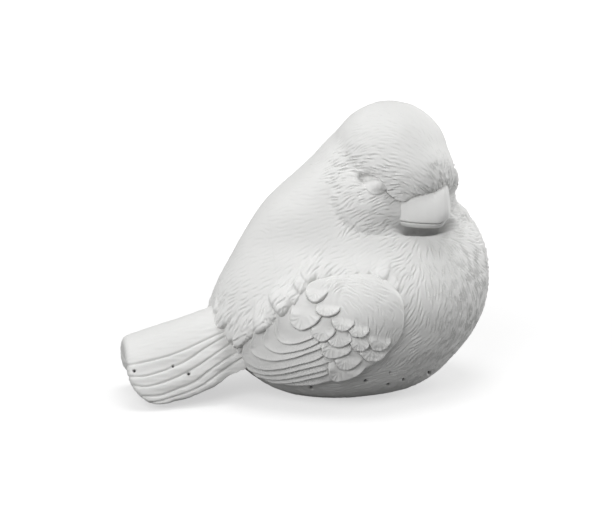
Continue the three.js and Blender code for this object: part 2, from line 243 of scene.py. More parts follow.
# %% Loft the torso
def torso_loft():
    """A tall tube of many rings, each vertex moved to its place on the torso."""
    form = bmesh.new()
    bmesh.ops.create_cone(form, cap_ends=True, segments=sides, radius1=1, radius2=1, depth=1)
    upright = [edge for edge in form.edges if abs(edge.verts[0].co.z - edge.verts[1].co.z) > 0.5]
    bmesh.ops.subdivide_edges(form, edges=upright, cuts=rings_between)
    tube = places(form)
    level = np.clip(tube[:, 2] + 0.5, 0, 1)
    turn = np.arctan2(tube[:, 1], tube[:, 0])
    back, front, half = between_sections(level).T
    nape = ease(level, *nape_levels)
    behind = np.cos(turn) < 0
    power = np.where(behind, 1 - nape_fullness * nape, 1)
    throat = np.where(np.sin(turn) < 0, *throat_tapers)
    narrowing = np.where(behind, rump_taper * (1 - nape), throat * nape)
    along = np.sign(np.cos(turn)) * np.abs(np.cos(turn)) ** power
    aside = np.sign(np.sin(turn)) * np.abs(np.sin(turn)) ** power * (1 - narrowing * np.cos(turn) ** 2)
    x = ((back + front) / 2 + (front - back) / 2 * along) * torso_length
    move_to(form, np.stack([x, half * torso_width * aside, level * torso_height], 1))
    return form


# %% Plugs for the head's pockets
head_centre = Vector((20.9, -8.0, 94.75)) * mm
head_turn = math.radians(-58)
head_tilt = math.radians(-2.5)
head_turned = Matrix.Rotation(head_turn, 3, "Z") @ Matrix.Rotation(head_tilt, 3, "X")
face_depth = 14.5 * mm
plug_overlap = 0.35 * mm
head_overlap = 0.2 * mm
eye_sink = -1.3 * mm
skin_voxel = 1.0 * mm
skin_smoothing = 6


def beak_plug(node):
    """A beak half cut back to the depth where the face closes round it."""
    form = merged_copy(node, plug_overlap)
    for corner in form.verts:
        own = head_turned.transposed() @ (corner.co - head_centre)
        own.x = min(own.x, face_depth)
        corner.co = head_turned @ own + head_centre
    return form


skin_form = fused([
    torso_loft(), merged_copy("head", head_overlap), beak_plug("beak_upper"), beak_plug("beak_lower"),
    merged_copy("right_eye", eye_sink), merged_copy("left_eye", eye_sink),
], skin_voxel, skin_smoothing)
skin = BVHTree.FromBMesh(skin_form)
coarse_skin = skin_form.copy()
skin_points = places(skin_form)
skin_facing = outward(skin_form)
print("smooth skin:", len(skin_points), "vertices")
skin_form.free()

# %% [markdown]
# ## Fields for the relief
#
# Random but repeatable numbers come from a hash of whole-number cells, blended between cells to a
# slow drift. The plumage itself is cut the way a modeller works with a wire tool: a few thousand
# short strokes that follow the lie of the feathers. Each stroke is traced over the smooth skin and
# later pressed into the fine grids as a groove with a small lip on its lower side.

# %% Repeatable noise
hash_factors = np.array([73856093, 19349663, 83492791], np.int64)
seed_factor = 668265263
mixing_factor = 1274126177


def scatter(cells, seed):
    """A number from 0 to 1 for each row of whole numbers, the same in every run."""
    mixed = (cells.astype(np.int64) * hash_factors).sum(1) + seed * seed_factor
    mixed = (mixed ^ (mixed >> 13)) * mixing_factor
    mixed = mixed ^ (mixed >> 16)
    return (mixed & 0xFFFF) / 0xFFFF


def drift(points, size, seed):
    """Smooth noise from -1 to 1 that changes over about this size."""
    place = points / size
    low = np.floor(place).astype(np.int64)
    part = place - low
    part = part * part * (3 - 2 * part)
    total = np.zeros(len(points))
    for corner in itertools.product((0, 1), repeat=3):
        weight = np.prod(np.where(np.array(corner) == 1, part, 1 - part), axis=1)
        total += weight * scatter(low + np.array(corner), seed)
    return total * 2 - 1


def through(points, steps=6):
    """A smooth line through a few places."""
    points = np.array(points, float)
    ends = [2 * points[0] - points[1], *points, 2 * points[-1] - points[-2]]
    line = []
    for before, start, end, after in zip(ends, ends[1:], ends[2:], ends[3:]):
        for t in np.arange(steps) / steps:
            bend = 2 * before - 5 * start + 4 * end - after
            twist = 3 * start - before - 3 * end + after
            line.append(start + 0.5 * ((end - before) * t + bend * t**2 + twist * t**3))
    return np.array([*line, points[-1]])


def from_line(pixels, line):
    """Distance in pixels to a line, positive on its left as it runs, and the share along it."""
    best = np.full(len(pixels), 1e9)
    sign = np.ones(len(pixels))
    share = np.zeros(len(pixels))
    for number, (start, end) in enumerate(zip(line, line[1:])):
        step = end - start
        t = np.clip(((pixels - start) @ step) / (step @ step), 0, 1)
        gap = pixels - start - t[:, None] * step
        far = np.hypot(gap[:, 0], gap[:, 1])
        nearer = far < best - 1e-9
        best = np.where(nearer, far, best)
        side = step[0] * (pixels[:, 1] - start[1]) - step[1] * (pixels[:, 0] - start[0])
        sign = np.where(nearer, np.where(side < 0, 1.0, -1.0), sign)
        share = np.where(nearer, (number + t) / (len(line) - 1), share)
    return best * sign, share


print("noise sample:", drift(np.array([[0.1, 0.2, 0.3]]), 0.05, 7).round(3))

# %% [markdown]
# ## Where the head ends
#
# Body and head stay two pieces, as in the CAD model, cut by the same two planes: one level plane
# under the cheeks and one steep plane behind the crown. The relief is one field over both, so the
# cut doesn't show.

# %% The two planes between body and head
seat_level = 68.5 * mm
seat_plane = (Vector((0, 0, seat_level)), Vector((0, 0, 1)))
nape_plane = (Vector((-6 * mm, 0, seat_level)), Vector((29, 0, 8)).normalized())


def on_right_of_head(points):
    """Points in the head's own frame, mirrored to its right half, and back in the part's frame."""
    turned = np.array(head_turned)
    own = (points - np.array(head_centre)) @ turned
    own[:, 1] = -np.abs(own[:, 1])
    return own @ turned.T + np.array(head_centre)


def on_right_of_body(points):
    mirrored = points.copy()
    mirrored[:, 1] = -np.abs(mirrored[:, 1])
    return mirrored


# %% [markdown]
# ## The lie of the plumage
#
# On the head the strokes run back from the beak, over the brow and round the eye, and sink towards
# the nape. On the breast they fan out from the throat. Low on the belly they turn towards the tail,
# and over the wing's shoulder they fan out from its root. They are sharpest round the eye and on the
# breast, and nearly gone on the crown and the back.

# %% Lines of the relief, as places in the picture
brow_line = through([
    (345, 172.5), (353, 171), (362, 173.5), (373, 174.5), (381, 180), (385.5, 187), (389, 194),
    (398, 199), (409, 200.5), (422, 199), (435, 194.5), (443.5, 190), (448.5, 183), (449.5, 175),
])
cheek_line = through([
    (330, 186), (329, 198), (335, 213), (350, 227), (366, 234), (402, 235), (427, 228),
])
wing_outline = through([
    (244.4, 347.5), (246, 358), (252, 366), (262, 373.5), (276, 379.5), (291.3, 382.5), (310, 382.5),
    (327.5, 380), (347.5, 376), (361, 370), (377, 360), (391.5, 346), (401.3, 330), (403, 309),
    (398, 292.5), (380, 277), (353.8, 274), (320, 279), (302, 291), (287, 307), (272, 316),
    (256, 327), (246, 336), (244.4, 347.5),
])
fringe_line = through([
    (213, 316), (229, 334), (242, 344), (262, 331), (283, 316), (300, 298), (320, 281),
])
shoulder_root = np.array((343.0, 303.0))
throat_in_picture = (425, 236)
gape_in_picture = (400, 212)


def seen_on_skin(place):
    """The place on the skin that shows at a place in the picture."""
    way = Vector(sight_lines(np.array([place], float))[0])
    return np.array(skin.ray_cast(camera_place, way)[0])


def spot(seen, place, wide, tall):
    """1 at a place in the picture, fading out round it."""
    return np.exp(-(((seen[:, 0] - place[0]) / wide) ** 2) - ((seen[:, 1] - place[1]) / tall) ** 2)


# %% Where the strokes run, and how deep they are
beak_root = np.array(head_centre + head_turned @ Vector((13, 0, -12)) * mm)
head_forward = np.array(head_turned @ Vector((1, 0, 0)))
throat = seen_on_skin(throat_in_picture)


def head_share(points):
    """1 on the head, 0 on the torso, and a smooth change between them."""
    level = (points[:, 2] - seat_level) / mm
    behind = ((points - np.array(nape_plane[0])) @ np.array(nape_plane[1])) / mm
    return ease(np.minimum(level, behind), -2, 5)


def lie_of_plumage(points, facing):
    """Unit directions along the skin in which the plumage points."""
    on_head = head_share(points)[:, None]
    from_beak = (points - beak_root) / mm
    reach = np.linalg.norm(from_beak, axis=1, keepdims=True)
    sinking = np.array((0, 0, -0.9)) * ease(reach, 16, 42)
    head_way = 0.6 * (from_beak / reach - head_forward) + sinking
    from_throat = points - throat
    from_throat = from_throat / np.linalg.norm(from_throat, axis=1, keepdims=True)
    low = 1 - ease(points[:, 2:] / mm, 12, 46)
    aside = ease(np.abs(facing[:, 1:2]), 0.5, 0.95)
    body_way = from_throat + low * np.array((-1.1, 0, 0)) + aside * np.array((-0.1, 0, -0.4))
    way = on_head * head_way + (1 - on_head) * body_way
    seen = in_picture(on_right_of_body(points))
    near_fringe = 1 - ease(np.abs(from_line(seen, fringe_line)[0]), 10, 34)
    way = way + near_fringe[:, None] * (1 - on_head) * np.array((-0.2, 0, -1.5))
    on_wing = ease(from_line(seen, wing_outline)[0], 0, 3)[:, None] * (1 - on_head)
    away = (seen - shoulder_root) * (1, -1)
    far = np.hypot(away[:, 0], away[:, 1])
    swirl = np.arctan(far / 25)
    fan_right = (away[:, 0] * np.cos(swirl) + away[:, 1] * np.sin(swirl)) / np.maximum(far, 4)
    fan_up = (away[:, 1] * np.cos(swirl) - away[:, 0] * np.sin(swirl)) / np.maximum(far, 4)
    fan_right = 0.6 * fan_right + 0.25
    fan_up = 0.6 * fan_up - 0.4
    wing_way = fan_right[:, None] * picture_right + fan_up[:, None] * picture_up
    wing_way[:, 1] *= np.sign(-points[:, 1])
    way = way + on_wing * (wing_way - way)
    slow = (0.45 + 0.5 * on_wing[:, 0]) * drift(points, 7 * mm, 61)
    quick = (0.4 + 0.3 * on_wing[:, 0]) * drift(points, 2.4 * mm, 62)
    turn = (slow + quick)[:, None]
    way = way - facing * (way * facing).sum(1, keepdims=True)
    way = way / np.maximum(np.linalg.norm(way, axis=1, keepdims=True), 1e-9)
    return way * np.cos(turn) + np.cross(facing, way) * np.sin(turn)


def wing_share(points):
    """1 under the folded wing, 0 away from it."""
    return ease(from_line(in_picture(on_right_of_body(points)), wing_outline)[0], -1, 2)


def stroke_depth(points):
    """How deep the strokes are, in millimetres."""
    seen = in_picture(on_right_of_head(points))
    above = from_line(seen, brow_line)[0]
    near_brow = 1 - ease(np.abs(above), 6, 34)
    crown = 0.12 + 0.5 * near_brow
    near_ruff = 1 - ease(np.abs(from_line(seen, cheek_line)[0]), 4, 18)
    cheek = (0.36 + 0.22 * near_ruff) * (1 - 0.8 * spot(seen, gape_in_picture, 7, 12))
    on_head = np.where(above > 0, crown, cheek)
    behind = (points - np.array(head_centre)) @ head_forward <= -12 * mm
    on_head = np.where(behind, 0.12, on_head)
    high = points[:, 2] / mm
    front = points[:, 0] / mm
    breast = ease(front, 2, 26)
    flank = (1 - ease(high, 40, 62)) * (1 - ease(front, 2, 26))
    seen = in_picture(on_right_of_body(points))
    near_fringe = 1 - ease(np.abs(from_line(seen, fringe_line)[0]), 8, 40)
    cuts = ease(front, 30, 48) * (1 - ease(high, 50, 66))
    on_body = 0.07 + 0.4 * breast + 0.2 * flank + 0.34 * near_fringe + 0.2 * cuts
    on_body = on_body + wing_share(points) * (0.2 + 0.25 * near_fringe - on_body)
    share = head_share(points)
    return share * on_head + (1 - share) * on_body


# %% Trace the strokes over the skin
stroke_step = 0.8 * mm
most_steps = 11
stroke_tries = 26000
lowest_stroke = 2 * mm


def traced(start, facing):
    """Lines that follow the plumage over the skin, with the way they run at each place."""
    line = [start]
    ways = [lie_of_plumage(start, facing)]
    for _ in range(most_steps):
        near = [skin.find_nearest(Vector(point)) for point in line[-1] + ways[-1] * stroke_step]
        line.append(np.array([hit[0] for hit in near]))
        ways.append(lie_of_plumage(line[-1], np.array([hit[1] for hit in near])))
    return np.stack(line, 1), np.stack(ways, 1)


def spread_out(lines, lengths, rooms):
    """Numbers of lines, taken in order, that keep clear of those taken before."""
    cell = 2 * mm
    taken = {}
    chosen = []
    for number, (line, length, room) in enumerate(zip(lines.tolist(), lengths, rooms)):
        places_now = line[: length + 1]
        crowded = False
        for x, y, z in places_now[::2]:
            near = itertools.product(*([int(v // cell) + step for step in (-1, 0, 1)] for v in (x, y, z)))
            crowded = any(
                (a - x) ** 2 + (b - y) ** 2 + (c - z) ** 2 < room * room
                for home in near for a, b, c in taken.get(home, ()))
            if crowded:
                break
        if crowded:
            continue
        chosen.append(number)
        for place in places_now:
            taken.setdefault(tuple(int(v // cell) for v in place), []).append(place)
    return np.array(chosen)


cells = np.round(skin_points / mm * 40)
order = np.argsort(scatter(cells, 91) + scatter(cells, 92) / 1000)
order = order[skin_points[order, 2] > lowest_stroke][:stroke_tries]
lines, ways = traced(skin_points[order], skin_facing[order])
starts = lines[:, 0]
fine = np.maximum(head_share(starts), wing_share(starts))
coarse = (1 - fine) * (1 - ease(starts[:, 0], -20 * mm, 10 * mm))
rooms = (1.0 - 0.2 * fine + 0.3 * coarse) * mm
lengths = (4 + 6 * scatter(np.round(starts / mm * 40), 93) - fine).astype(int)
chosen = spread_out(lines, lengths, rooms)
print("strokes:", len(chosen))

# %% All the strokes' places in one tree
stroke_places = []
stroke_ways = []
stroke_shares = []
for number in chosen:
    count = lengths[number] + 1
    stroke_places.append(lines[number, :count])
    stroke_ways.append(ways[number, :count])
    stroke_shares.append(np.arange(count) / (count - 1))
stroke_places = np.concatenate(stroke_places)
stroke_ways = np.concatenate(stroke_ways)
stroke_shares = np.concatenate(stroke_shares)
stroke_depths = stroke_depth(stroke_places) * np.sin(math.pi * (0.04 + 0.92 * stroke_shares)) ** 0.6
stroke_widths = 0.38 - 0.06 * np.maximum(head_share(stroke_places), wing_share(stroke_places))
stroke_tree = KDTree(len(stroke_places))
for number, place in enumerate(stroke_places):
    stroke_tree.insert(place, number)
stroke_tree.balance()


def stroke_relief(points, facing):
    """Height in millimetres of the grooves and their lips at places on the skin."""
    nearest = np.array([stroke_tree.find(point)[1] for point in points])
    away = (points - stroke_places[nearest]) / mm
    run = stroke_ways[nearest]
    along = (away * run).sum(1)
    beside = (np.cross(facing, run) * away).sum(1)
    beyond = np.maximum(np.abs(along) - 0.45, 0)
    apart = np.hypot(beside, beyond)
    width = stroke_widths[nearest]
    deep = stroke_depths[nearest]
    groove = -np.exp(-((apart / width) ** 2))
    lip = 0.55 * np.exp(-(((apart - 1.9 * width) / (1.1 * width)) ** 2)) * ease(-beside / width, 0, 1)
    return deep * (groove + lip)


# %% [markdown]
# ## Tufts over the wing and the tail
#
# The plumage of the back ends in a thick fringe that hangs over the wing and the root of the tail. It
# rises slowly out of the back and drops at the tips of its tufts, which is the highest relief on the
# casting. Each tuft has a place, a way it points, a width and a height, read from the photograph.
# Soft swellings lie behind the gaps between them.

# %% The tufts, as places in the picture
tufts = [  # tip across and down, degrees left of straight down, half width, length, height in mm
    (213, 316, 0, 5, 22, 1.8), (221, 330, 18, 6.5, 28, 2.3), (232, 341, 20, 6, 28, 2.7),
    (241, 347.5, 8, 8, 34, 3.5), (250.5, 338, 12, 5, 26, 2.3), (260, 334, 14, 10, 30, 3.9),
    (271.5, 324, 16, 6, 28, 2.6), (282, 317.5, 8, 12, 34, 4.4), (295, 307, 8, 6.5, 30, 2.9),
    (301.5, 297, 10, 7, 30, 3.2), (308, 287, 14, 7.5, 28, 3.0), (321, 285, 12, 8.5, 26, 1.6),
    (336, 282, 8, 9, 24, 1.0), (350, 280.5, 0, 8, 20, 1.1), (362, 279, 4, 8, 22, 1.2),
    (374, 280, 0, 6.5, 20, 1.3), (384, 283.5, -6, 6.5, 22, 2.6), (395, 293, -12, 5, 20, 1.8),
]
swellings = [
    (231, 325, 20, 4, 16, 0.5), (247, 330, 14, 3.5, 20, 0.7), (257, 322, 14, 4, 18, 0.6),
    (268, 313, 16, 4, 18, 0.7), (277, 307, 12, 4.5, 18, 0.8), (287, 303, 8, 4.5, 18, 0.8),
    (297, 291, 10, 4.5, 18, 0.7), (306, 276, 8, 5, 16, 0.6), (327, 273, 10, 7, 16, 0.3),
    (343, 268, 4, 8, 18, 0.3), (366, 266, 2, 7, 16, 0.3), (378, 268, -4, 6, 17, 0.5),
    (264, 303, 16, 5, 18, 0.4), (282, 290, 12, 5, 18, 0.4), (240, 316, 18, 5, 18, 0.4),
]
tuft_slope = 0.55
swelling_slope = 0.95


def drops(seen, table, steep):
    """Height in millimetres of hanging drops at places in the picture."""
    height = np.zeros(len(seen))
    for x, y, lean, half, long, high in table:
        lean = math.radians(lean)
        way = np.array((-math.sin(lean), math.cos(lean)))
        away = seen - (x, y)
        back = -(away @ way)
        side = away @ (way[1], -way[0]) + 1.8 * np.sin(back / 7 + x)
        wide = half * (0.68 + 0.55 * ease(back, 0, 2 * half))
        reach = np.hypot(side / wide, np.clip(1 - back / (1.5 * half), 0, 9))
        gap = np.clip((1 - reach) / steep / (1 + 1.5 * ease(back, 0.3 * long, long)), 0, 1)
        drop = high * np.sqrt(1 - (1 - gap) ** 2) * (1 - ease(back, 0.1 * long, 1.3 * long))
        height = np.maximum(height, drop)
    return height


# %% The torso's relief
def body_relief(points):
    """Height of tufts and lumps over the torso's skin, in millimetres."""
    seen = in_picture(on_right_of_body(points))
    high = points[:, 2] / mm
    front = points[:, 0] / mm
    breast = ease(front, 2, 30) * (1 - ease(high, 74, 92))
    belly = 1 - ease(high, 8, 22)
    strength = 0.12 + 0.5 * breast * (1 - 0.6 * belly)
    height = strength * 0.4 * drift(points, 8 * mm, 5)
    under_wing = from_line(seen, wing_outline)[0]
    height = height - 0.9 * ease(under_wing, 3, 8)
    facing_out = ease(-on_right_of_body(points)[:, 1], 2 * mm, 8 * mm)
    fringe = drops(seen, tufts, tuft_slope) * facing_out
    swelling = 0.5 * drops(seen, swellings, swelling_slope) * facing_out * ease(fringe, 0.2, 1)
    return np.maximum(height, fringe + 0.4 * height * (fringe > 0)) + swelling


# %% The head's relief
eye_in_picture = (374.5, 185)
cheek_corner = (397, 213)
lid_height = 1.2
lid_fall = 7
fold_width = 2.6
gape_height = 1.0
eye_hollow = 0.5


def eye_share(seen):
    return spot(seen, eye_in_picture, 12, 10)


def faces_camera(points):
    """1 on the half of the head that the camera sees, when mirrored to it, and 0 behind."""
    return ease((points - np.array(head_centre)) @ picture_back, -6 * mm, 6 * mm)


def head_relief(points):
    """Height of brow, cheek and lumps over the head's skin, in millimetres."""
    mirrored = on_right_of_head(points)
    seen = in_picture(mirrored)
    above, share = from_line(seen, brow_line)
    around, cheek_share = from_line(seen, cheek_line)
    along_brow = ease(share, 0, 0.25) * (1 - ease(share, 0.95, 1))
    over_brow = ease(above, -1.2, 0.6)
    lid = over_brow * lid_height * np.exp(-np.maximum(above, 0) / lid_fall)
    under_lid = 0.6 + 1.5 * ease(share, 0.3, 0.5)
    lid = lid - (1 - over_brow) * under_lid * np.exp(np.minimum(above, 0) / 2.5)
    gape = gape_height * spot(seen, cheek_corner, 7, 8)
    along_cheek = ease(cheek_share, 0, 0.2) * (1 - ease(cheek_share, 0.93, 1))
    fold = 0.35 * np.exp(-(((around - 6) / 5) ** 2)) - 0.9 * np.exp(-((around / fold_width) ** 2))
    lumps = 0.18 * drift(points, 4 * mm, 57)
    height = lid * along_brow + fold * along_cheek + gape - eye_hollow * eye_share(seen)
    return faces_camera(mirrored) * height + lumps


# %% Air bubbles, the hollow under the beak and the far cheek
pits = [  # air bubbles in the casting: place in the picture and radius in pixels
    (311, 388, 1.2), (365.5, 381.5, 1.2), (388, 384.5, 1.1), (390, 373, 0.8), (403.5, 380, 1.1),
    (429, 373, 1.3), (134, 371, 1.2), (173, 366, 0.9), (189, 374, 1.1),
]
deepest_pit = 1.9
hollow_in_picture = (420, 228.5)
hollow_depth = 8


def pit_depth(points):
    """Depth in millimetres of the pits that air bubbles left, on the side that the camera sees."""
    seen = in_picture(points)
    depth = np.zeros(len(points))
    for x, y, radius in pits:
        apart = np.hypot(seen[:, 0] - x, seen[:, 1] - y) / radius / 1.15
        depth += deepest_pit * np.exp(-(apart**4))
    return depth * (points[:, 1] < 0)


def throat_hollow(points):
    """Depth in millimetres of the hollow under the beak."""
    mirrored = on_right_of_head(points)
    away = in_picture(mirrored) - hollow_in_picture
    apart = np.hypot(away[:, 0] / 19, away[:, 1] / 5)
    return hollow_depth * faces_camera(mirrored) * np.exp(-(apart**2.4))


cheek_out = 4.8
forehead_in = 1.7
crease_in = 2.0
neck_in = 1.4


def far_cheek(points):
    """Height in millimetres of the left cheek, which stands out beside a narrower forehead."""
    away = points - np.array(head_centre)
    turn = np.degrees(np.arctan2(away[:, 1], away[:, 0]))
    level = points[:, 2] / mm
    forehead = np.exp(-(((turn + 14) / 11) ** 2)) * ease(level, 76, 82) * (1 - ease(level, 98, 108))
    crease = np.exp(-(((turn + 7) / 3) ** 2) - ((level - 82) / 8) ** 2)
    cheek = np.exp(-(((turn - 8) / 14) ** 2)) * ease(level, 78, 84) * (1 - ease(level, 87, 102))
    neck = np.exp(-(((turn - 6) / 16) ** 2) - ((level - 77) / 2.5) ** 2)
    return cheek_out * cheek - forehead_in * forehead - crease_in * crease - neck_in * neck


def casting_relief(points, facing):
    """Height of all the relief over the skin, in metres."""
    share = head_share(points)
    broad = share * (head_relief(points) + far_cheek(points)) + (1 - share) * body_relief(points)
    return (broad - throat_hollow(points) - pit_depth(points) + stroke_relief(points, facing)) * mm


# %% [markdown]
# ## One fine mesh, five pieces
#
# The smooth skin is remeshed again in squares of about a third of a millimetre, which is fine enough
# for a stroke. The relief is raised on this one mesh, and the head and four slices of the body are
# cut from it. So their edges agree to the last corner and the joints don't show.

# %% Raise the relief on the fine mesh
fine_voxel = 0.37 * mm
flat_under = 0.2 * mm
fine_form = fused([coarse_skin], fine_voxel, 5)
points = places(fine_form)
facing = outward(fine_form)
lift = casting_relief(points, facing) * ease(points[:, 2], 0.8 * mm, 4 * mm)
# Painted shade: the material darkens the pits and the hollow under the beak by this amount.
painted_shade = 0.8 * pit_depth(points) + 0.055 * throat_hollow(points)
points = points + facing * lift[:, None]
points[points[:, 2] < flat_under, 2] = 0
move_to(fine_form, points)
print("fine mesh:", len(points), "vertices")


def lay_painted_shade(form, amounts):
    """Keeps how much painted shade the material lays on each corner, more deep in a pit or hollow."""
    layer = form.verts.layers.float.new("painted_shade")
    for corner, amount in zip(form.verts, amounts.tolist()):
        corner[layer] = min(max(amount, 0.0), 1.0)


lay_painted_shade(fine_form, painted_shade)

# %% Cut pieces out of the fine mesh, and close them
hair = 1e-7
rim_reach = 2e-6
flat_reach = 5e-8


def cut_out(planes):
    """The part of the fine mesh that lies on the wanted side of some planes."""
    form = fine_form.copy()
    for place, normal in planes:
        far = [corner for corner in form.verts if (corner.co - place).dot(normal) < -2 * mm]
        bmesh.ops.delete(form, geom=far, context="VERTS")
    for place, normal in planes:
        every = [*form.verts, *form.edges, *form.faces]
        bmesh.ops.bisect_plane(
            form, geom=every, dist=hair, plane_co=place, plane_no=normal, clear_inner=True)
    return form


def lies_in(corner, plane, reach):
    return abs((corner.co - plane[0]).dot(plane[1])) < reach


def cap(form, planes):
    """Closes the cuts. Where two planes meet, an edge from rim to rim parts their caps."""
    bmesh.ops.remove_doubles(form, verts=form.verts, dist=hair)
    flat = [face for face in form.faces
            if any(all(lies_in(corner, plane, flat_reach) for corner in face.verts) for plane in planes)]
    bmesh.ops.delete(form, geom=flat, context="FACES")
    rim = {corner for edge in form.edges if edge.is_boundary for corner in edge.verts}
    for pair in itertools.combinations(planes, 2):
        bends = [corner for corner in rim if all(lies_in(corner, plane, rim_reach) for plane in pair)]
        if len(bends) == 2:
            form.edges.new(bends)
    open_rim = [edge for edge in form.edges if edge.is_boundary or edge.is_wire]
    bmesh.ops.edgenet_fill(form, edges=open_rim)


# %% Finish a piece
sharp_angle = math.radians(60)
pieces = []


def finish_piece(form, name):
    bmesh.ops.remove_doubles(form, verts=form.verts, dist=hair)
    bmesh.ops.triangulate(form, faces=[face for face in form.faces if len(face.verts) > 4])
    bmesh.ops.recalc_face_normals(form, faces=form.faces)
    piece = new_object(form, name)
    piece.data.polygons.foreach_set("use_smooth", [True] * len(piece.data.polygons))
    piece.data.set_sharp_from_angle(angle=sharp_angle)
    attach(piece, "root")
    pieces.append(piece)
    open_edges = count_open_edges(piece)
    triangles = sum(len(face.vertices) - 2 for face in piece.data.polygons)
    print(name, "has", triangles, "triangles and", open_edges, "open edges")
    return piece


def count_open_edges(piece):
    form = bmesh.new()
    form.from_mesh(piece.data)
    count = sum(1 for edge in form.edges if not edge.is_manifold)
    form.free()
    return count


# %% The head, and the body in four slices
def flipped(plane):
    return plane[0], -plane[1]


def upright_plane(x):
    return Vector((x * mm, 0, seat_level)), Vector((1, 0, 0))


breast_plane = upright_plane(26)
middle_plane = upright_plane(-6)
rump_plane = upright_plane(-32)
for name, node, planes in (
    ("feathered_head", "head", (seat_plane, nape_plane)),
    ("feathered_breast", "body", (breast_plane, flipped(seat_plane))),
    ("feathered_flanks", "body", (middle_plane, flipped(breast_plane), flipped(seat_plane))),
    ("feathered_back", "body", (rump_plane, flipped(middle_plane), flipped(nape_plane))),
    ("feathered_rump", "body", (flipped(rump_plane),)),
):
    form = cut_out(planes)
    cap(form, planes)
    piece = finish_piece(form, name)
    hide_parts(node)
fine_form.free()

# %% [markdown]
# ## The wings
#
# A folded wing is a low cushion on the flank: eight long flight feathers in terraces, a patch of
# small scale-like coverts over their roots, and a smooth round shoulder. It is drawn as a height over
# the skin. A flat grid is thrown from the camera onto the skin and raised by that height, so each
# feather lands where the photograph has it. The left wing is its mirror image.

# %% The feathers' lower edges, in eighths of a pixel from this place in the picture
close_up_corner = np.array((235.0, 265.0))
flight_edges = [through(np.array(places_seen) / 8 + close_up_corner) for places_seen in (
    ((345, 400), (345, 450), (335, 520), (350, 570), (390, 605),
     (440, 615), (520, 608), (600, 580), (700, 540)),
    ((270, 470), (265, 510), (240, 570), (250, 620), (290, 655),
     (350, 680), (420, 682), (520, 665), (600, 640), (720, 580)),
    ((165, 540), (150, 590), (140, 650), (170, 690), (230, 720),
     (310, 738), (400, 735), (500, 715), (600, 680), (740, 630)),
    ((90, 590), (85, 640), (80, 690), (110, 740), (170, 775), (250, 800),
     (340, 803), (440, 790), (550, 765), (650, 735), (760, 680)),
    ((40, 650), (60, 715), (110, 780), (170, 815), (260, 838),
     (350, 842), (450, 830), (560, 805), (680, 775), (800, 745)),
    ((20, 700), (70, 770), (130, 817), (200, 850), (290, 875),
     (380, 882), (470, 872), (580, 850), (700, 820), (820, 800)),
    ((60, 790), (130, 830), (200, 865), (300, 905), (400, 914),
     (500, 907), (600, 885), (740, 850), (840, 830)),
    ((150, 860), (240, 895), (330, 920), (450, 942),
     (600, 942), (740, 925), (850, 905), (900, 885)),
)]
covert_arcs = [  # lower edge from left to right, and length, from the undermost to the uppermost
    (((750, 780), (760, 850), (800, 885), (860, 885), (930, 865), (1000, 825), (1060, 770)), 150),
    (((800, 735), (830, 785), (890, 802), (950, 780), (1010, 735)), 130),
    (((990, 680), (1040, 730), (1100, 738), (1150, 725), (1210, 670)), 120),
    (((700, 640), (710, 690), (770, 716), (840, 705), (900, 680), (935, 650)), 120),
    (((1058, 570), (1080, 640), (1130, 655), (1180, 640), (1225, 590)), 110),
    (((912, 595), (940, 645), (985, 660), (1030, 650), (1065, 610)), 110),
    (((738, 575), (770, 615), (825, 632), (880, 620), (930, 585)), 110),
    (((902, 500), (930, 540), (975, 552), (1020, 545), (1060, 505)), 110),
    (((618, 495), (630, 545), (660, 575), (705, 592), (760, 570), (805, 525)), 125),
    (((778, 445), (800, 490), (850, 512), (900, 505), (945, 465)), 110),
    (((462, 370), (455, 430), (480, 480), (545, 510), (610, 490), (665, 455), (700, 410)), 140),
    (((655, 375), (690, 400), (740, 412), (800, 400), (838, 370)), 120),
    (((575, 230), (600, 285), (645, 312), (700, 290), (748, 235)), 110),
]
covert_lean = math.radians(8)
wing_foot = Vector((-12, -28, 32)) * mm
root_way = np.array((math.sin(covert_lean), -math.cos(covert_lean)))


# %% The wing's height over the skin
tip_pad = 1.3
root_pad = 1.1
dome_pad = 1.8
low_edge_pad = 1.7
dome_centre = (374, 311)
shadow_depth = 0.95
flight_lift = 1.5
covert_lift = 1.2


def shingle(height, gap, base, lift, rim_width=1.3):
    """A feather over what lies below, with a round rim and a thin shadow line outside it."""
    under = height - shadow_depth * np.exp(np.minimum(gap, 0) / 1.1) * (gap <= 0)
    rim = np.clip(gap / rim_width, 0, 1)
    over = base + lift * np.sqrt(1 - (1 - rim) ** 2)
    return np.where(gap > 0, over, under)


